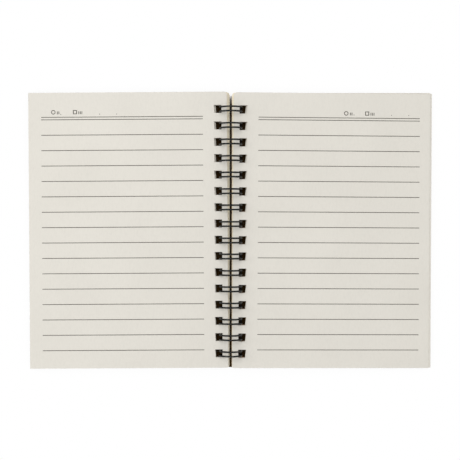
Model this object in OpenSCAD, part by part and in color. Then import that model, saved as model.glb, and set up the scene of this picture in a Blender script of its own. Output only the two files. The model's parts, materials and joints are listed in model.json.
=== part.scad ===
// Open twin-loop notebook lying flat: two stacks of sheets side by side on one double-loop wire.
// X runs to the right, Y up the page, Z up from the table. All sizes are in millimetres.
// The rings share one axis along Y. The top sheets lie in planes through it, so that turning the
// left half about it closes the notebook. The origin is on the table, under the ring axis.

/* [Sheets] */
// Width of a sheet, from its punched edge to its fore edge
page_w = 103.4; // [80:0.1:160]
// Height of a sheet, along its punched edge
page_h = 144; // [100:1:210]
// Thickness of the stack that lies on the left
left_stack_t = 3; // [1.5:0.1:3.4]
// Thickness of the stack that lies on the right, where it lies over the wire's straight runs
right_stack_t = 2.4; // [1.2:0.1:2.6]
// How far the right stack's last sheet stands out past its top sheet at the fore edge
right_fan = 0.8; // [0:0.1:1.5]
// Where the right stack's last sheet has come down onto the back cover, from the ring axis
ease_end = 32; // [24:1:50]
// Thickness of a cover board
cover_t = 0.5; // [0.3:0.05:0.6]

/* [Holes] */
// Side of a square hole
hole_side = 4.2; // [3.9:0.1:4.6]
// Paper left between a hole and the punched edge
hole_margin = 3.1; // [2.8:0.1:3.2]
// Room between the rings and the inner side of the left sheets' holes
left_slack = 0.65; // [0.3:0.05:0.8]
// Room between the rings and the inner side of the right sheets' holes
right_slack = 1.05; // [0.6:0.05:1.2]
// Room between the rings and the inner side of the covers' holes
cover_slack = 0.25; // [0.15:0.05:0.35]
// Least room from the middle of the first or last hole to the end of a sheet, if the row is centred
end_room = 7; // [6:0.5:12]
// Distance from one hole to the next, three to the inch
loop_pitch = 8.467; // [8:0.1:8.7]
// How far the row of holes sits below the middle of the sheet
row_drop = 0.9; // [0:0.1:1.5]

/* [Wire] */
// Diameter of the wire
wire_d = 0.9; // [0.7:0.1:1]
// Radius of a ring, to the middle of its wire
ring_r = 5.8; // [5.7:0.1:6.5]
// Distance between the two wires of a double loop
pair_gap = 2.15; // [1.9:0.05:2.3]
// Radius of the bend from a ring into the straight run that leads to the next loop
bend_r = 1; // [0.8:0.1:1.2]
// Gap along the ring between the straight runs and the closed tips of the loops
tip_gap = 0.6; // [0.3:0.1:1]

/* [Printing] */
// Least room under the last rule of a page
rule_foot = 8; // [6:0.5:20]
// Distance from one rule to the next
rule_pitch = 8; // [6:0.5:8]
// Length of a rule
rule_len = 84.3; // [60:0.1:86]
// Width of a printed line
rule_w = 0.3; // [0.2:0.05:0.6]
// Thickness of the ink on the paper
ink_t = 0.04; // [0.03:0.01:0.06]
// Inner end of the left page's rules, from the ring axis
left_rule_inner = 14; // [13:0.1:16]
// Inner end of the right page's rules, from the ring axis
right_rule_inner = 14.4; // [13:0.1:16]
// First single rule, below the top edge of the sheet
rule_first = 22.4; // [18:0.1:26]
// Distance between the two lines of the header rule
header_gap = 1.3; // [1:0.1:2]

/* [Hidden] */

// Room between the straight runs and the sheets and board that they lie between
run_clear = 0.08;
cut = 1;
curve_steps = 8;
ring_facets = 72;
wire_facets = 24;

// As many holes and double loops as a sheet has room for, and as many rules
loops = floor((page_h - 2 * end_room) / loop_pitch) + 1;
rules = floor((page_h - rule_first - rule_foot) / rule_pitch) + 1;

axis_z = ring_r + wire_d / 2;
ring_inside = ring_r - wire_d / 2;

// The straight runs lie between the right stack and the back cover, off the ring by their bend
run_r = norm([ring_r, bend_r]);
run_depth = right_stack_t + run_clear + wire_d / 2;
run_angle = asin(run_depth / run_r);
bend_angle = atan(bend_r / ring_r);
tip_bend_angle = atan(pair_gap / 2 / ring_r);
ring_from = -run_angle - bend_angle;
tip_gap_angle = (tip_gap + wire_d) / 2 / ring_r * 180 / PI;
ring_to = tip_bend_angle + tip_gap_angle - run_angle;
// A ring is drawn as two arcs, one from each of its ends, that share this much of it, in degrees
arc_share = 10;
// A straight run is drawn from both its ends too, as two lengths that share this much of it
run_share = 0.5;
// How far a joint stands out from the wire
joint_swell = 0.01;

// Depths are measured down from the plane of the top sheets
left_depth = left_stack_t + cover_t;
back_top = run_depth + wire_d / 2 + run_clear;
back_depth = back_top + cover_t;

// Punched edges follow the ring, so that every hole clears it by its slack
function edge_at(depth, slack) = sqrt(ring_inside * ring_inside - depth * depth) - slack - hole_margin;
front_edge = edge_at(left_depth, cover_slack);
back_edge = edge_at(back_depth, cover_slack);

// Each half leans down from the ring axis until the fore edge of its cover lies on the table
function lean(reach, depth) = asin(axis_z / norm([reach, depth])) - atan2(depth, reach);
left_lean = lean(front_edge + page_w, left_depth);
right_lean = lean(back_edge + page_w, back_depth);

function loop_y(i) = ((loops - 1) / 2 - i) * loop_pitch - row_drop;
function rule_y(i) = page_h / 2 - rule_first - i * rule_pitch;
function ease(t) = t * t * (3 - 2 * t);

// A half is drawn on the right with its top sheet in the plane z = 0, then leaned and put in place
module right_half() {
    translate([0, 0, axis_z]) rotate([0, right_lean, 0]) children();
}

module left_half() {
    mirror([1, 0, 0]) translate([0, 0, axis_z]) rotate([0, left_lean, 0]) children();
}

// A section across the spine, drawn out along it
module along_spine(length) {
    rotate([90, 0, 0]) linear_extrude(height = length, center = true) children();
}

// The punched edge from one depth to another, as points on its curve, moved outwards
function edge_points(top, low, slack, out) =
    [for (k = [0 : curve_steps])
        let (depth = top + (low - top) * k / curve_steps)
        [edge_at(depth, slack) + out, -depth]];

// The row of square holes through sheets that follow the ring from one depth to another
module hole_row(top, low, slack) {
    wall = edge_points(top, low, slack, hole_margin);
    inner = concat([wall[0] + [0, cut]], wall, [wall[curve_steps] - [0, cut]]);
    section = concat(inner, [for (k = [len(inner) - 1 : -1 : 0]) inner[k] + [hole_side, 0]]);
    for (i = [0 : loops - 1])
        translate([0, loop_y(i), 0]) along_spine(hole_side) polygon(section);
}

// A flat board with its row of holes
module cover_board(edge, top) {
    difference() {
        translate([edge, -page_h / 2, -top - cover_t]) cube([page_w, page_h, cover_t]);
        for (i = [0 : loops - 1])
            translate([edge + hole_margin, loop_y(i) - hole_side / 2, -top - cover_t - cut])
                cube([hole_side, hole_side, cover_t + 2 * cut]);
    }
}

// The printed lines of one page: a double header rule and the single rules below it
module ruling(inner) {
    places = concat([for (i = [-1 : rules - 1]) rule_y(i)], [rule_y(-1) + header_gap]);
    for (y = places)
        translate([inner, y - rule_w / 2, 0]) cube([rule_len, rule_w, ink_t]);
}

// A place on a ring: X points out from the axis, Y along the ring, Z down the spine
module on_ring(angle, y) {
    translate([0, y, 0]) rotate([90, 0, 0]) rotate([0, 0, angle]) translate([ring_r, 0, 0]) children();
}

// Wire bent to a radius in the surface of the ring
module bend(radius, from, angle) {
    rotate([0, -90, 0]) rotate([0, 0, from])
        rotate_extrude(angle = angle, $fn = ring_facets)
            translate([radius, 0]) circle(d = wire_d, $fn = wire_facets);
}

// Part of a ring, from one of its ends
module ring_arc(from, sweep, y) {
    translate([0, y, 0]) rotate([90, 0, 0]) rotate([0, 0, from])
        rotate_extrude(angle = sweep, $fn = ring_facets)
            translate([ring_r, 0]) circle(d = wire_d, $fn = wire_facets);
}

// A ball at a joint, a hair wider than the wire, which makes its pieces one solid at any size
module joint() {
    sphere(d = wire_d + 2 * joint_swell, $fn = wire_facets);
}

// One double loop: two rings, the closed tip that joins them, and a bend at the foot of each
module double_loop(y) {
    for (side = [-1, 1]) {
        ring_arc(ring_to, 180, y + side * pair_gap / 2);
        ring_arc(ring_from, ring_to - ring_from - 180 - arc_share, y + side * pair_gap / 2);
        on_ring(ring_to, y + side * pair_gap / 2) joint();
        on_ring(ring_from, y + side * pair_gap / 2) joint();
        on_ring(ring_from, y + side * (pair_gap / 2 + bend_r)) translate([0, bend_r, 0]) joint();
    }
    on_ring(ring_to, y) bend(pair_gap / 2, 180, 180);
    on_ring(ring_from, y + pair_gap / 2 + bend_r) bend(bend_r, 0, 90);
    on_ring(ring_from, y - pair_gap / 2 - bend_r) bend(bend_r, 90, 90);
}

// The straight run from one double loop to the next, from the foot of the one to that of the other
module run_between(y) {
    foot = pair_gap / 2 + bend_r;
    length = (loop_pitch - 2 * foot + run_share) / 2;
    for (end = [0, 1])
        on_ring(ring_from, y - foot - end * (loop_pitch - 2 * foot))
            translate([0, bend_r, -end * length]) cylinder(d = wire_d, h = length, $fn = wire_facets);
}

module twin_loop_wire() color("#1c1b1a") translate([0, 0, axis_z]) {
    for (i = [0 : loops - 1]) double_loop(loop_y(i));
    for (i = [0 : loops - 2]) run_between(loop_y(i));
}

module left_page_block() color("#e6e2d6") left_half() {
    points = edge_points(0, left_stack_t, left_slack, 0);
    difference() {
        along_spine(page_h)
            polygon(concat(points, [for (k = [curve_steps : -1 : 0]) points[k] + [page_w, 0]]));
        hole_row(0, left_stack_t, left_slack);
    }
}

// The last sheets of the right stack lift over the straight runs and come down onto the back cover
module right_page_block() color("#e2ded1") right_half() {
    points = edge_points(0, right_stack_t, right_slack, 0);
    ease_start = ring_r + wire_d;
    fore = edge_at(0, right_slack) + page_w;
    underside = [for (k = [0 : curve_steps])
        let (t = k / curve_steps)
        [ease_start + (ease_end - ease_start) * t,
         -right_stack_t - (back_top - right_stack_t) * ease(t)]];
    difference() {
        along_spine(page_h)
            polygon(concat(points, underside, [[fore + right_fan, -back_top], [fore, 0]]));
        hole_row(0, right_stack_t, right_slack);
    }
}

module front_cover() color("#a98258") left_half() cover_board(front_edge, left_stack_t);

module back_cover() color("#a98258") right_half() cover_board(back_edge, back_top);

module left_ruling() color("#8f8a80") left_half() ruling(left_rule_inner);

module right_ruling() color("#8f8a80") right_half() ruling(right_rule_inner);

twin_loop_wire();
left_page_block();
right_page_block();
front_cover();
back_cover();
left_ruling();
right_ruling();
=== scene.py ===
# An open twin-loop notebook: two stacks of loose cream sheets and two board covers on one black
# double-loop wire, seen from straight above. Lengths are millimetres until metres() turns them.
import json
import math
import random

import bpy
from mathutils import Matrix, Vector, noise


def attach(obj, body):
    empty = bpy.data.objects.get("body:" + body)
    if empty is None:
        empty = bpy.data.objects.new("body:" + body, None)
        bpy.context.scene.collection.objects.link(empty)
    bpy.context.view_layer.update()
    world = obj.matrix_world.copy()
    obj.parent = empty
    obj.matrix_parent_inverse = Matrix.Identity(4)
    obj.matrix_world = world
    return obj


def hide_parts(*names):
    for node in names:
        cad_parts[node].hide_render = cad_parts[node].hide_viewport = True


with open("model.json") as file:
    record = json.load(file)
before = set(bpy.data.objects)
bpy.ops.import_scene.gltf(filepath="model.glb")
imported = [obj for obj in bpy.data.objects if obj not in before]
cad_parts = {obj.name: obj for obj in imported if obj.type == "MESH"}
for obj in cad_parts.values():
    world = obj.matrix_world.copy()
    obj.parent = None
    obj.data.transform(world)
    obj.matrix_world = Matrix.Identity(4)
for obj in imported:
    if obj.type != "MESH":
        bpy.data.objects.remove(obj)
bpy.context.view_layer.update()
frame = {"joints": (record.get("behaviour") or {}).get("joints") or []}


def metres(length):
    return length * 0.001


# Sizes of the notebook, as in its solids
SHEET_W = 103.4
SHEET_H = 144.0
STACK = {"left": 3.0, "right": 2.4}
BOARD = 0.5
HOLE = 4.2
HOLE_MARGIN = 3.1
SLACK = {"left": 0.65, "right": 1.05}
COVER_SLACK = 0.25
RIGHT_FAN = 0.8
EASE_END = 32.0
LOOPS = 16
LOOP_PITCH = 8.467
ROW_DROP = 0.9
WIRE = 0.9
RING = 5.8
BEND = 1.0
TIP_GAP = 0.6
RUN_CLEAR = 0.08
RULES = 15
HEADER_GAP = 1.3

# Sizes that are a little off those of its solids, some of them by the page
PAIR_GAP = 2.28
RULE_PITCH = {"left": 8.02, "right": 8.0}
RULE_LENGTH = {"left": 84.2, "right": 84.7}
RULE_WIDTH = 0.34
RULE_FIRST = {"left": 22.14, "right": 22.5}
RULE_INNER = {"left": 14.13, "right": 14.2}

# What follows from them
AXIS_Z = frame["joints"][0]["pos_m"][2] * 1000
RING_INSIDE = RING - WIRE / 2
RUN_RADIUS = math.hypot(RING, BEND)
RUN_DEPTH = STACK["right"] + RUN_CLEAR + WIRE / 2
RUN_ANGLE = math.asin(RUN_DEPTH / RUN_RADIUS)
TIP_GAP_ANGLE = (TIP_GAP + WIRE) / 2 / RING
RING_FROM = -RUN_ANGLE - math.atan(BEND / RING)
RING_TO = math.atan(PAIR_GAP / 2 / RING) + TIP_GAP_ANGLE - RUN_ANGLE
BACK_TOP = RUN_DEPTH + WIRE / 2 + RUN_CLEAR


def edge_at(depth, slack):
    """Where a punched edge lies, out from the ring axis, at a depth below the top sheets."""
    return math.sqrt(RING_INSIDE**2 - depth**2) - slack - HOLE_MARGIN


def lean(reach, depth):
    """How far a half leans down from the ring axis to lay its cover's fore edge on the table."""
    return math.asin(AXIS_Z / math.hypot(reach, depth)) - math.atan2(depth, reach)


FRONT_EDGE = edge_at(STACK["left"] + BOARD, COVER_SLACK)
BACK_EDGE = edge_at(BACK_TOP + BOARD, COVER_SLACK)
LEAN = {
    "left": lean(FRONT_EDGE + SHEET_W, STACK["left"] + BOARD),
    "right": lean(BACK_EDGE + SHEET_W, BACK_TOP + BOARD),
}
SIDE = {"left": -1, "right": 1}


def on_half(side, u, y, height):
    """A point of one half, u out from the ring axis and height above the top sheets' plane."""
    a = LEAN[side]
    x = u * math.cos(a) + height * math.sin(a)
    z = AXIS_Z - u * math.sin(a) + height * math.cos(a)
    return Vector((SIDE[side] * metres(x), metres(y), metres(z)))


def loop_y(index):
    return ((LOOPS - 1) / 2 - index) * LOOP_PITCH - ROW_DROP


def smooth(t):
    t = min(max(t, 0.0), 1.0)
    return t * t * (3 - 2 * t)


# Meshes

def mesh_object(name, points, faces, materials, shades=None):
    """A mesh from points and faces; shades gives each face's place in the list of materials."""
    mesh = bpy.data.meshes.new(name)
    mesh.from_pydata(points, [], faces)
    for material in materials:
        mesh.materials.append(material)
    if shades:
        mesh.polygons.foreach_set("material_index", shades)
    mesh.update()
    thing = bpy.data.objects.new(name, mesh)
    bpy.context.scene.collection.objects.link(thing)
    return thing


class Layer:
    """One sheet or board of a half: how it lies, and the way from its own plane to the half."""

    def __init__(self, side, edge, width, thickness, punch, lie, turn=0.0, shift=(0.0, 0.0),
                 trim=0.0, skew=0.0, tall=HOLE, flare=(0.0, 0.0), painted_light_strip=False):
        self.side = side
        self.edge = edge
        self.width = width
        self.thickness = thickness
        self.margin, self.hole = punch
        self.lie = lie
        self.turn = turn
        self.shift = shift
        self.trim = trim
        self.skew = skew
        self.tall = tall
        self.flare = flare
        self.painted_light_strip = painted_light_strip

    def point(self, s, y, above=0.0):
        """s runs out from the punched edge, y up the page; above is the height over its face."""
        middle = self.margin + self.hole / 2
        turn = self.turn + self.skew * (1 - s / self.width)
        u = self.edge + s + self.shift[0] + math.sin(turn) * y
        up = y + self.shift[1] - math.sin(self.turn) * (s - middle)
        return on_half(self.side, u, up, self.lie(u, up) + above)


# Where a sheet is divided across its width past its holes: in millimetres, then as parts of it
SPINE_COLUMNS = [9.0, 11.5, 14.5, 18.0, 22.0, 27.0, 33.0]
PAGE_COLUMNS = [0.42, 0.53, 0.64, 0.75, 0.84, 0.91, 0.96, 0.985, 1.0]
# Size of the cell at a sheet's corner that a worn corner reshapes
CORNER = 1.5
# How far the spine corners are worn in, at the head of the pages and at their tail
HEAD_WEAR = 0.44
TAIL_WEAR = 0.12
# How far each hole stands off its place along the spine
HOLE_DRIFT = [0.29, 0.17, 0.1, 0.1, -0.04, -0.08, -0.09, -0.08,
              -0.12, -0.08, -0.08, -0.1, -0.05, -0.05, -0.03, -0.04]


def layer_columns(layer):
    """Where a sheet is divided across its width: at its holes, round the spine and at its edge."""
    holes = [0.0, CORNER, layer.margin, layer.margin + layer.hole]
    return holes + SPINE_COLUMNS + [layer.width * part for part in PAGE_COLUMNS]


def layer_rows(layer):
    """Where it is divided along its height: at its two ends, and at both ends of each hole."""
    end = (SHEET_H - layer.trim) / 2
    rows = [-end, -end + CORNER]
    for index in reversed(range(LOOPS)):
        hole_y = loop_y(index) + HOLE_DRIFT[index]
        rows += [hole_y - layer.tall / 2, hole_y + layer.tall / 2]
    return rows + [end - CORNER, end]


def add_layer(layer, points, faces, shades):
    """Adds a closed sheet with its row of square holes. Cut edges take the second material, and so
    does the spine-side strip of a sheet that has painted light there.
    """
    columns = layer_columns(layer)
    rows = layer_rows(layer)
    hole_column = columns.index(layer.margin)
    hole_rows = range(2, len(rows) - 2)
    start = len(points)
    for below in (0.0, -layer.thickness):
        for row, y in enumerate(rows):
            for column, s in enumerate(columns):
                if column == 0 and row in (0, len(rows) - 1):
                    worn = HEAD_WEAR if row else TAIL_WEAR
                    points.append(layer.point(worn, y - math.copysign(worn, y), below))
                elif column == hole_column + 1 and row in hole_rows:
                    points.append(layer.point(s + layer.flare[row % 2], y, below))
                else:
                    points.append(layer.point(s, y, below))
    across = len(columns)
    sheet = across * len(rows)

    def corner(column, row, face):
        return start + face * sheet + row * across + column

    def is_paper(column, row):
        inside = 0 <= column < across - 1 and 0 <= row < len(rows) - 1
        return inside and not (column == hole_column and row in hole_rows[::2])

    outward = layer.side == "right"
    for row in range(len(rows) - 1):
        for column in range(across - 1):
            if not is_paper(column, row):
                continue
            ring = [(column, row), (column + 1, row), (column + 1, row + 1), (column, row + 1)]
            for face in (0, 1):
                quad = [corner(c, r, face) for c, r in ring]
                faces.append(quad if (face == 0) == outward else quad[::-1])
                # Below the top sheet, the spine-side strip takes the paler edge finish: painted
                # light for the band between the stacks.
                shades.append(1 if layer.painted_light_strip and column == 0 else 0)
            beside = [(column, row - 1), (column + 1, row), (column, row + 1), (column - 1, row)]
            for side in range(4):
                if is_paper(*beside[side]):
                    continue
                a, b = ring[side], ring[(side + 1) % 4]
                wall = [corner(*a, 1), corner(*b, 1), corner(*b, 0), corner(*a, 0)]
                faces.append(wall if outward else wall[::-1])
                shades.append(1)


# Materials

def paint(red, green, blue):
    """A colour as a screen shows it, 0 to 255, in the linear values that shaders take."""
    def linear(value):
        value /= 255
        return value / 12.92 if value <= 0.04045 else ((value + 0.055) / 1.055) ** 2.4
    return (linear(red), linear(green), linear(blue), 1.0)


def grey(value):
    return (value, value, value, 1.0)


class Signal:
    """A value, colour or vector on its way through the nodes of a finish or of the world."""

    def __init__(self, nodes, socket):
        self.nodes = nodes
        self.socket = socket

    def math(self, operation, first, second):
        return self.nodes.node("ShaderNodeMath", {"operation": operation}, {0: first, 1: second})

    def __add__(self, other):
        return self.math("ADD", self, other)

    def __sub__(self, other):
        return self.math("SUBTRACT", self, other)

    def __rsub__(self, other):
        return self.math("SUBTRACT", other, self)

    def __mul__(self, other):
        return self.math("MULTIPLY", self, other)

    __radd__ = __add__
    __rmul__ = __mul__

    def larger(self, other):
        return self.math("MAXIMUM", self, other)


class Nodes:
    """The nodes of a material or of the world."""

    def __init__(self, tree):
        self.tree = tree

    def node(self, kind, settings, inputs, output=0):
        """A node of a type, with its settings made first and then its sockets filled or linked."""
        made = self.tree.nodes.new(kind)
        for name, value in settings.items():
            if name == "stops":
                ramp = made.color_ramp
                while len(ramp.elements) < len(value):
                    ramp.elements.new(1.0)
                for element, (place, color) in zip(ramp.elements, value):
                    element.position = place
                    element.color = color
            else:
                setattr(made, name, value)
        for name, value in inputs.items():
            if isinstance(value, Signal):
                self.tree.links.new(value.socket, made.inputs[name])
            else:
                made.inputs[name].default_value = value
        return Signal(self, made.outputs[output])

    def fade(self, signal, start, end, low=0.0, high=1.0, kind="LINEAR"):
        """low as long as the signal is under start, high once it is over end."""
        inputs = {"Value": signal, "From Min": start, "From Max": end, "To Min": low,
                  "To Max": high}
        return self.node("ShaderNodeMapRange", {"interpolation_type": kind}, inputs)

    def seen_directly(self):
        """1 where a ray from the camera, a reflection or a clear pane looks, 0 for other light."""
        kinds = ("Is Camera Ray", "Is Glossy Ray", "Is Transmission Ray")
        camera, glossy, clear = (self.node("ShaderNodeLightPath", {}, {}, kind) for kind in kinds)
        return camera.larger(glossy).larger(clear)


class Finish(Nodes):
    """A material built round one Principled shader."""

    def __init__(self, name, constants):
        self.material = bpy.data.materials.new(name)
        self.material.use_nodes = True
        super().__init__(self.material.node_tree)
        self.shader = self.tree.nodes["Principled BSDF"]
        for socket, value in constants.items():
            self.shader.inputs[socket].default_value = value

    def feed(self, socket, signal):
        self.tree.links.new(signal.socket, self.shader.inputs[socket])

    def place(self, stretch=(1.0, 1.0, 1.0)):
        """The point on the piece, in metres, stretched along its axes."""
        here = self.node("ShaderNodeTexCoord", {}, {}, "Object")
        return self.node("ShaderNodeMapping", {}, {"Vector": here, "Scale": stretch})

    def cloud(self, size, detail=2.0, stretch=(1.0, 1.0, 1.0), rough=0.5):
        """Soft random patches of about this size in metres, from 0 to 1."""
        inputs = {"Vector": self.place(stretch), "Scale": 1 / size, "Detail": detail,
                  "Roughness": rough}
        return self.node("ShaderNodeTexNoise", {"noise_dimensions": "3D"}, inputs)

    def ramp(self, signal, stops):
        return self.node("ShaderNodeValToRGB", {"stops": stops}, {"Fac": signal})

    def multiply(self, first, second):
        settings = {"data_type": "RGBA", "blend_type": "MULTIPLY"}
        return self.node("ShaderNodeMix", settings, {0: 1.0, 6: first, 7: second}, 2)

    def relief(self, height, depth, strength):
        """Bumps of this depth in metres on the shader's normal."""
        inputs = {"Height": height, "Distance": depth, "Strength": strength}
        self.feed("Normal", self.node("ShaderNodeBump", {}, inputs))


def paper_finish():
    """Uncoated cream paper: faint clouds in the pulp, short fibres, a fine tooth."""
    paper = Finish("cream_paper", {"Roughness": 0.92, "Specular IOR Level": 0.25})
    clouds = paper.cloud(0.030, 3.0)
    fibres = paper.cloud(0.0009, 4.0, (1.0, 0.35, 1.0), 0.7)
    pulp = paper.ramp(clouds, [(0.25, paint(229, 225, 216)), (0.75, paint(233, 229, 220))])
    flecks = paper.ramp(fibres, [(0.30, grey(0.965)), (0.55, grey(1.0)), (0.80, grey(1.0))])
    paper.feed("Base Color", paper.multiply(pulp, flecks))
    paper.feed("Roughness", 0.95 - fibres * 0.08)
    paper.relief(fibres + clouds * 0.5, 0.00002, 0.5)
    return paper.material


def cut_edge_finish():
    """The cut edges of the sheets, with fine streaks where the pulp is open; their paler, warmer
    tone is painted light, for light through the paper's edges and warm bounce light between the
    stacks.
    """
    edge = Finish("cut_paper_edges", {"Roughness": 0.95, "Specular IOR Level": 0.2})
    streaks = edge.cloud(0.0016, 3.0, (1.0, 1.0, 12.0))
    # Paler and warmer than the paper: painted light.
    stops = [(0.25, paint(240, 230, 206)), (0.75, paint(248, 242, 226))]
    edge.feed("Base Color", edge.ramp(streaks, stops))
    edge.relief(streaks, 0.00003, 0.5)
    return edge.material


def board_finish():
    """Plain brown board: long pressed fibres, darker and paler specks."""
    board = Finish("brown_board", {"Roughness": 0.85, "Specular IOR Level": 0.3})
    clouds = board.cloud(0.012, 4.0)
    fibres = board.cloud(0.0012, 5.0, (0.3, 1.0, 1.0), 0.75)
    specks = board.cloud(0.0007, 2.0)
    brown = board.ramp(clouds, [(0.3, paint(163, 124, 84)), (0.7, paint(177, 138, 97))])
    strands = board.ramp(fibres, [(0.30, grey(0.78)), (0.50, grey(1.0)), (0.72, grey(1.12))])
    dots = board.ramp(specks, [(0.22, grey(0.55)), (0.30, grey(1.0))])
    board.feed("Base Color", board.multiply(board.multiply(brown, strands), dots))
    board.feed("Roughness", 0.9 - fibres * 0.15)
    board.relief(fibres + specks * 0.4, 0.00004, 0.6)
    return board.material


def board_edge_finish():
    """The cut edges of the boards, where their plies show."""
    edge = Finish("board_edges", {"Roughness": 0.95, "Specular IOR Level": 0.2})
    plies = edge.cloud(0.0014, 4.0, (1.0, 1.0, 6.0))
    stops = [(0.3, paint(132, 98, 64)), (0.7, paint(170, 132, 92))]
    edge.feed("Base Color", edge.ramp(plies, stops))
    edge.relief(plies, 0.00006, 0.6)
    return edge.material


def wire_finish():
    """Steel wire in a smooth black coating, with the faint unevenness of a dipped film."""
    wire = Finish("black_coated_wire", {"Specular IOR Level": 0.25})
    film = wire.cloud(0.0012, 2.0)
    wire.feed("Base Color", wire.ramp(film, [(0.3, paint(7, 7, 6)), (0.7, paint(13, 12, 11))]))
    wire.feed("Roughness", 0.16 + film * 0.12)
    wire.relief(film, 0.00002, 0.25)
    return wire.material


def ink_finish():
    """Flat grey ink that has sunk into the paper unevenly."""
    ink = Finish("grey_ink", {"Roughness": 0.9, "Specular IOR Level": 0.2})
    tooth = ink.cloud(0.0006, 3.0, (0.5, 1.0, 1.0))
    ink.feed("Base Color", ink.ramp(tooth, [(0.3, paint(66, 63, 56)), (0.75, paint(92, 88, 80))]))
    return ink.material


CREAM = paper_finish()
CUT_EDGE = cut_edge_finish()
BROWN = board_finish()
BROWN_EDGE = board_edge_finish()
BLACK = wire_finish()
GREY = ink_finish()

# Sheets

SHEETS = {"left": 30, "right": 32}
STACK_SEED = {"left": 3, "right": 7}
SHEET_THICKNESS = 0.07
# Paper left between the top sheet's holes and its punched edge, and how wide its holes are
PUNCH = {"left": (2.85, 3.9), "right": (3.1, 3.8)}
# How much wider the holes get, from the top sheet to the last
LOW_HOLE = 0.3
# How high the holes are, and how far the lower and upper ends of their outer walls stand out
HOLE_TALL = {"left": 4.2, "right": 4.4}
FLARE = {"left": (-0.16, 0.1), "right": (-0.28, 0.3)}
# The turn of the top sheet and of the last one, in radians, and how it fades down the stack
TOP_TURN = {"left": 0.00646, "right": 0.00541}
LOW_TURN = {"left": 0.0045, "right": -0.0055}
TURN_FADE = 0.6
# How far the sheets of a stack stand up along the spine, and how much shorter they are cut
STACK_SHIFT = {"left": 0.1, "right": -0.1}
TRIM = {"left": 0.25, "right": 0.45}
# How far the lower sheets' punched edges lean more than the sheets do, in radians, and how far
# they stand out. Both grow down the stack this many times as fast as its share, until full.
LOW_SKEW = {"left": -0.0048, "right": 0.0043}
LOW_REACH = {"left": -0.13, "right": 0.06}
LOW_RATE = 2.5
# The sag at the punched edges, and how far from the ring axis it starts
SPINE_DIP = {"left": 0.03, "right": 0.06}
SPINE_DIP_REACH = 11.0
# How loose the sheets lie: their waves, their places across and along the spine, their turn and
# their fore edges
WAVE = 0.015
WAVE_RATE = 0.02
WAVE_SPREAD = 40
LOOSE_ACROSS = 0.05
LOOSE_ALONG = 0.06
LOOSE_TURN = 0.0003
LOOSE_FORE = 0.12
# The first sheets on the right are narrower and a little lower than those under them
SHORT_SHEETS = 3
SHORT_FORE = -0.3
SHORT_DROP = 0.075


def spine_dip(side, u):
    """Sheets sag a little from their holes to their punched edges."""
    away = min(max((SPINE_DIP_REACH - u) / SPINE_DIP_REACH, 0.0), 1.0)
    return -SPINE_DIP[side] * away**2


def stack_layers(side):
    """The sheets of a stack from the top one down, each a little off its neighbours."""
    rolls = random.Random(STACK_SEED[side])
    right = side == "right"
    spine_t = STACK[side]
    fore_t = BACK_TOP if right else spine_t
    ease_start = RING + WIRE
    margin, hole = PUNCH[side]
    layers = []
    for index in range(SHEETS[side]):
        share = index / SHEETS[side]
        lift = WAVE * (1 - share) * rolls.random()

        def lie(u, y, share=share, lift=lift, phase=rolls.random() * WAVE_SPREAD):
            eased = smooth((u - ease_start) / (EASE_END - ease_start))
            flat = -share * (spine_t + (fore_t - spine_t) * eased)
            wave = noise.noise(Vector((u * WAVE_RATE + phase, y * WAVE_RATE, 0.0)))
            return flat + spine_dip(side, u) * (1 - share) + lift * wave

        low = min(1.0, LOW_RATE * share)
        reach = LOW_REACH[side] * low
        edge = edge_at(share * spine_t, SLACK[side]) + reach
        punch = (margin - reach, hole + LOW_HOLE * share)
        shift = [rolls.uniform(-LOOSE_ACROSS, LOOSE_ACROSS),
                 STACK_SHIFT[side] + rolls.uniform(-LOOSE_ALONG, LOOSE_ALONG)]
        turn = LOW_TURN[side] + (TOP_TURN[side] - LOW_TURN[side]) * (1 - share) ** TURN_FADE
        turn += rolls.uniform(-LOOSE_TURN, LOOSE_TURN)
        if index == 0:
            shift = [0.0, STACK_SHIFT[side]]
            turn = TOP_TURN[side]
        width = SHEET_W
        if right:
            fore = edge_at(0.0, SLACK[side]) + SHEET_W
            if index < SHORT_SHEETS:
                shift[1] -= SHORT_DROP
                fore += SHORT_FORE
            else:
                fore += RIGHT_FAN - LOOSE_FORE * rolls.random()
            width = fore - edge
        # The last argument gives every sheet but the top one the painted light strip at its spine
        # side.
        layers.append(Layer(side, edge, width, SHEET_THICKNESS, punch, lie, turn, shift,
                            TRIM[side], LOW_SKEW[side] * low, HOLE_TALL[side], FLARE[side],
                            index > 0))
    return layers


def build_stack(side):
    """Makes the stack of one side and gives back its top sheet."""
    layers = stack_layers(side)
    points, faces, shades = [], [], []
    for layer in layers:
        add_layer(layer, points, faces, shades)
    stack = mesh_object(side + "_sheets", points, faces, [CREAM, CUT_EDGE], shades)
    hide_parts(side + "_page_block")
    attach(stack, "root" if side == "right" else "left_pages")
    return layers[0]


# Print on the top sheets

INK_THICKNESS = 0.012
# Long bars are divided about this often, to follow the sheet
BAR_STEP = 4.0


def add_bar(layer, start, end, y, width, points, faces):
    """A printed bar from start to end along the line y, following the sheet."""
    steps = max(1, round((end - start) / BAR_STEP))
    first = len(points)
    for step in range(steps + 1):
        s = start + (end - start) * step / steps
        for up in (y - width / 2, y + width / 2):
            for above in (0.0, INK_THICKNESS):
                points.append(layer.point(s, up, above))
    outward = layer.side == "right"
    quads = []
    for step in range(steps):
        a = first + 4 * step
        b = a + 4
        quads += [(a + 1, b + 1, b + 3, a + 3), (a, a + 2, b + 2, b), (a, b, b + 1, a + 1),
                  (a + 3, b + 3, b + 2, a + 2)]
    last = first + 4 * steps
    quads += [(first, first + 1, first + 3, first + 2), (last, last + 2, last + 3, last + 1)]
    faces.extend(quad if outward else quad[::-1] for quad in quads)


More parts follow.
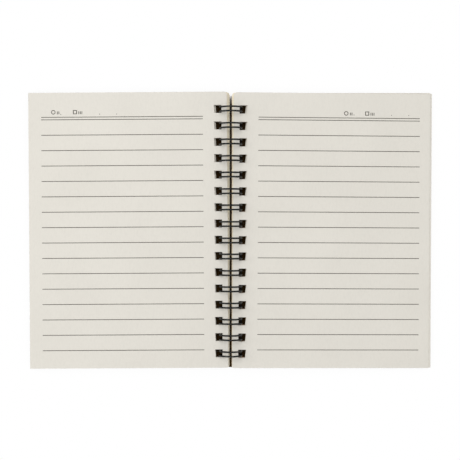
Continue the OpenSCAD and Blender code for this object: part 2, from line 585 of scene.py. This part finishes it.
def add_outline(layer, outer, inner, points, faces):
    """A printed band between two closed outlines of as many points."""
    count = len(outer)
    first = len(points)
    for s, y in outer + inner:
        points.append(layer.point(s, y, 0.0))
        points.append(layer.point(s, y, INK_THICKNESS))
    outward = layer.side == "right"
    quads = []
    for k in range(count):
        n = (k + 1) % count
        low_out, low_next = first + 2 * k, first + 2 * n
        low_in, low_in_next = first + 2 * (count + k), first + 2 * (count + n)
        quads.append((low_out + 1, low_next + 1, low_in_next + 1, low_in + 1))
        quads.append((low_out, low_in, low_in_next, low_next))
        quads.append((low_out, low_next, low_next + 1, low_out + 1))
        quads.append((low_in, low_in + 1, low_in_next + 1, low_in_next))
    faces.extend(quad if outward else quad[::-1] for quad in quads)


def circle_at(s, y, radius, count):
    turns = [2 * math.pi * k / count for k in range(count)]
    return [(s + radius * math.cos(turn), y + radius * math.sin(turn)) for turn in turns]


def box_at(s, y, size):
    half = size / 2
    return [(s - half, y - half), (s + half, y - half), (s + half, y + half), (s - half, y + half)]


# Sizes of the header's marks
MARK_STROKE = 0.38
RING_MARK = 2.3
RING_MARK_SIDES = 20
BOX_MARK = 2.1
BAR_MARK = (0.38, 1.5)
BAR_MARK_DROP = 0.3
DOT = 0.22
DOT_EYE = 0.066
DOT_SIDES = 12
# Their places, out from the ring axis: plain shapes, each with a row of short bars, and dots.
# The shapes' middles are this far over the header, and the dots this far under the middles.
HEADER_MARKS = {
    "left": {"ring": 92.0, "box": 80.7, "bars": (89.9, 89.1, 78.7, 77.9, 77.1),
             "dots": (88.1, 67.9, 59.0), "rise": 2.6, "drop": 1.1},
    "right": {"ring": 60.1, "box": 71.1, "bars": (62.3, 63.1, 73.1, 73.9, 74.7),
              "dots": (64.2, 83.9, 93.0), "rise": 2.4, "drop": 0.8},
}


def add_ring_mark(layer, s, y, points, faces):
    outer = circle_at(s, y, RING_MARK / 2, RING_MARK_SIDES)
    inner = circle_at(s, y, RING_MARK / 2 - MARK_STROKE, RING_MARK_SIDES)
    add_outline(layer, outer, inner, points, faces)


def add_box_mark(layer, s, y, points, faces):
    inner = box_at(s, y, BOX_MARK - 2 * MARK_STROKE)
    add_outline(layer, box_at(s, y, BOX_MARK), inner, points, faces)


def add_bar_mark(layer, s, y, points, faces):
    width, height = BAR_MARK
    add_bar(layer, s - width / 2, s + width / 2, y, height, points, faces)


def add_dot(layer, s, y, points, faces):
    outer = circle_at(s, y, DOT, DOT_SIDES)
    add_outline(layer, outer, circle_at(s, y, DOT_EYE, DOT_SIDES), points, faces)


def build_print(side, layer):
    """Prints the rules, the double header rule and the header's marks on a top sheet."""
    points, faces = [], []
    inner = RULE_INNER[side] - layer.edge
    first = SHEET_H / 2 - RULE_FIRST[side] - layer.shift[1]
    heights = [first - index * RULE_PITCH[side] for index in range(-1, RULES)]
    header = heights[0] + HEADER_GAP
    for y in heights + [header]:
        add_bar(layer, inner, inner + RULE_LENGTH[side], y, RULE_WIDTH, points, faces)
    marks = HEADER_MARKS[side]
    middle = header + marks["rise"]
    add_ring_mark(layer, marks["ring"] - layer.edge, middle, points, faces)
    add_box_mark(layer, marks["box"] - layer.edge, middle, points, faces)
    for place in marks["bars"]:
        add_bar_mark(layer, place - layer.edge, middle - BAR_MARK_DROP, points, faces)
    for place in marks["dots"]:
        add_dot(layer, place - layer.edge, middle - marks["drop"], points, faces)
    lines = mesh_object(side + "_print", points, faces, [GREY])
    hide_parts(side + "_ruling")
    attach(lines, "root" if side == "right" else "left_pages")


# Covers

COVER_TURN = {"left": 0.003, "right": 0.001}
COVER_TRIM = {"left": 0.4, "right": 0.8}
# The boards' punched edges stand back by this much, under the sheets' edges
SET_BACK = 0.4


def build_cover(name, side, edge, top, node, body):
    """A board under one stack, its face at the depth top below the top sheets."""
    def lie(u, y):
        return -top

    punch = (HOLE_MARGIN - SET_BACK, HOLE + SET_BACK)
    layer = Layer(side, edge + SET_BACK, SHEET_W - SET_BACK, BOARD, punch, lie,
                  COVER_TURN[side], trim=COVER_TRIM[side])
    points, faces, shades = [], [], []
    add_layer(layer, points, faces, shades)
    board = mesh_object(name, points, faces, [BROWN, BROWN_EDGE], shades)
    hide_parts(node)
    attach(board, body)


# Wire

WIRE_SIDES = 16
RING_STEPS = 72
BEND_STEPS = 6
TIP_STEPS = 12
WIRE_SEED = 11
# How far each double loop stands off its place along the spine
LOOP_DRIFT = [0.1, 0.03, 0.0, -0.08, -0.1, -0.21, -0.09, -0.24,
              -0.29, -0.11, -0.12, -0.06, -0.02, -0.01, 0.1, 0.2]
# How far a ring may sway out of its plane
RING_SWAY = 0.05


def ring_point(angle, y, along=0.0):
    """On a ring at an angle, with a step along the tangent for the bends and tips."""
    x = RING * math.cos(angle) - along * math.sin(angle)
    z = AXIS_Z + RING * math.sin(angle) + along * math.cos(angle)
    return Vector((metres(x), metres(y), metres(z)))


def foot_points(y, way):
    """The bend at the foot of a ring, from the ring on to the run that leads off this way."""
    turns = [math.pi / 2 * k / BEND_STEPS for k in range(BEND_STEPS + 1)]
    return [ring_point(RING_FROM, y + way * BEND * (1 - math.cos(turn)), BEND * math.sin(turn))
            for turn in turns]


def ring_points(start, sweep, y, sway):
    """A ring between its two ends, swaying out of its plane on the way."""
    parts = [step / RING_STEPS for step in range(1, RING_STEPS)]
    return [ring_point(start + sweep * part, y + sway * math.sin(math.pi * part))
            for part in parts]


def tip_points(y):
    """The closed tip that joins the two rings of a double loop."""
    turns = [math.pi * k / TIP_STEPS for k in range(TIP_STEPS + 1)]
    half = PAIR_GAP / 2
    return [ring_point(RING_TO, y + half * math.cos(turn), -half * math.sin(turn))
            for turn in turns]


def wire_route():
    """The middle line of the one wire: foot, ring, closed tip, ring back, foot, run, and so on."""
    rolls = random.Random(WIRE_SEED)
    sweep = RING_TO - RING_FROM - 2 * math.pi
    route = []
    for index in range(LOOPS):
        y = loop_y(index) + LOOP_DRIFT[index]
        sway = rolls.uniform(-RING_SWAY, RING_SWAY)
        head, tail = y + PAIR_GAP / 2, y - PAIR_GAP / 2
        route += reversed(foot_points(head, 1))
        route += ring_points(RING_FROM, sweep, head, sway)
        route += tip_points(y)
        route += ring_points(RING_TO, -sweep, tail, sway)
        route += foot_points(tail, -1)
    return route


def sweep_tube(route, radius, sides):
    """A closed round tube along a route, its section carried along without twist."""
    points, faces = [], []
    normal = Vector((1.0, 0.0, 0.0))
    for k, here in enumerate(route):
        before = route[max(k - 1, 0)]
        after = route[min(k + 1, len(route) - 1)]
        ahead = (after - before).normalized()
        normal = (normal - ahead * normal.dot(ahead)).normalized()
        across = ahead.cross(normal)
        for side in range(sides):
            turn = 2 * math.pi * side / sides
            points.append(here + radius * (normal * math.cos(turn) + across * math.sin(turn)))
    for k in range(len(route) - 1):
        for side in range(sides):
            a = k * sides + side
            b = k * sides + (side + 1) % sides
            faces.append((a, b, b + sides, a + sides))
    faces.append(tuple(reversed(range(sides))))
    last = (len(route) - 1) * sides
    faces.append(tuple(range(last, last + sides)))
    return points, faces


def build_wire():
    points, faces = sweep_tube(wire_route(), metres(WIRE / 2), WIRE_SIDES)
    wire = mesh_object("double_loop_wire", points, faces, [BLACK])
    wire.data.polygons.foreach_set("use_smooth", [len(face) == 4 for face in faces])
    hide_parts("twin_loop_wire")
    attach(wire, "root")


# Camera

# Its place over the table, its three small tilts and the scale of the picture at its distance
CAMERA_AT = (-12.78, 3.2, 600.0)
CAMERA_TILT = (-0.312, -1.198, 0.004)
PIXELS_PER_MM = 1.90135
PICTURE = 460
SENSOR = 36.0
CLIP_START = 10.0


def build_camera():
    data = bpy.data.cameras.new("overhead")
    data.sensor_width = SENSOR
    data.lens = PIXELS_PER_MM * CAMERA_AT[2] / PICTURE * SENSOR
    data.clip_start = metres(CLIP_START)
    camera = bpy.data.objects.new("overhead", data)
    turn = Matrix.Identity(4)
    for tilt, axis in zip(CAMERA_TILT, "XYZ"):
        turn = turn @ Matrix.Rotation(math.radians(tilt), 4, axis)
    camera.matrix_world = Matrix.Translation([metres(value) for value in CAMERA_AT]) @ turn
    bpy.context.scene.collection.objects.link(camera)
    bpy.context.scene.camera = camera


# Floor and light, with lengths in metres

WORLD_LIGHT = 0.52
WORLD_COLOR = (1.0, 1.0, 0.995, 1.0)
FLOOR_HALF = 1.5
# A spot of the table takes painted shade from what covers it within this distance
SKY_REACH = 0.012
# The open sky over which the table turns from its dark painted shade to pale,
# and over which the pale part clears of its painted contact shadow
UNDER = (0.28, 0.50)
BESIDE = (0.50, 0.85)
BESIDE_GLOW = 0.97
# Where painted shade keeps the table dark between the stacks: its middle line and how far it
# reaches from it, where it ends at the pages' tail and where it starts up the spine, and how much
# sky it takes
GAP_MIDDLE = 0.0002
GAP_REACH = (0.0008, 0.0011)
GAP_END = (-0.0724, -0.0720)
GAP_START = (-0.064, -0.058)
GAP_SKY = 0.5


def area_light(name, place, size, power):
    data = bpy.data.lights.new(name, "AREA")
    data.shape = "DISK"
    data.size = size
    data.energy = power
    lamp = bpy.data.objects.new(name, data)
    lamp.location = place
    lamp.rotation_euler = (-Vector(place)).to_track_quat("-Z", "Y").to_euler()
    bpy.context.scene.collection.objects.link(lamp)


def build_world():
    world = bpy.data.worlds.new("studio")
    bpy.context.scene.world = world
    world.use_nodes = True
    nodes = Nodes(world.node_tree)
    back = nodes.tree.nodes["Background"]
    level = nodes.fade(nodes.seen_directly(), 0.0, 1.0, WORLD_LIGHT, 1.0)
    nodes.tree.links.new(level.socket, back.inputs["Strength"])
    back.inputs["Color"].default_value = WORLD_COLOR


def painted_gap_shade(table):
    """Painted shade: 1 on the table between the stacks near the pages' tail, fading to 0 around
    it.
    """
    here = table.place()
    across, along = (table.node("ShaderNodeSeparateXYZ", {}, {"Vector": here}, axis)
                     for axis in (0, 1))
    off = across - GAP_MIDDLE
    near, far = (reach**2 for reach in GAP_REACH)
    beside = table.fade(off * off, near, far, 1.0, 0.0)
    return beside * table.fade(along, *GAP_START, 1.0, 0.0) * table.fade(along, *GAP_END)


def build_floor():
    """A pale table: white in the open, with a painted contact shadow beside the notebook and
    painted shade under it.
    """
    half = FLOOR_HALF
    corners = [(-half, -half, 0), (half, -half, 0), (half, half, 0), (-half, half, 0)]
    # Its dark brown base colour is painted shade. It shows only under the notebook, through the
    # gap between the stacks and through the holes.
    table = Finish("pale_table", {"Roughness": 0.9, "Specular IOR Level": 0.0,
                                  "Base Color": paint(72, 52, 26)})
    # Little open sky over a spot turns it from the white glow to the dark paint, and a little less
    # dims the glow: painted shade and a painted contact shadow, from the occlusion.
    sky = table.node("ShaderNodeAmbientOcclusion", {"samples": 16}, {"Distance": SKY_REACH}, 1)
    # The painted gap shade takes open sky away, so the table stays dark there as far as the pages'
    # tail.
    pale = table.fade(sky - painted_gap_shade(table) * GAP_SKY, *UNDER, kind="SMOOTHSTEP")
    level = table.fade(sky, *BESIDE, BESIDE_GLOW, 1.0)
    glow = table.node("ShaderNodeEmission", {}, {"Color": level, "Strength": 1.0})
    dark = Signal(table, table.shader.outputs[0])
    factor = pale * table.seen_directly()
    mixed = table.node("ShaderNodeMixShader", {}, {0: factor, 1: dark, 2: glow})
    output = table.tree.nodes["Material Output"]
    table.tree.links.new(mixed.socket, output.inputs["Surface"])
    floor = mesh_object("table", corners, [(0, 1, 2, 3)], [table.material])


build_camera()
build_cover("front_board", "left", FRONT_EDGE, STACK["left"], "front_cover", "front_cover")
build_cover("back_board", "right", BACK_EDGE, BACK_TOP, "back_cover", "root")
for side in ("left", "right"):
    build_print(side, build_stack(side))
build_wire()
build_floor()
build_world()
area_light("window", (-0.12, 0.35, 1.3), 1.0, 6.1)
area_light("strip", (-1.0, 0.2, 0.85), 0.7, 4.2)

bpy.context.scene.view_settings.view_transform = "Standard"
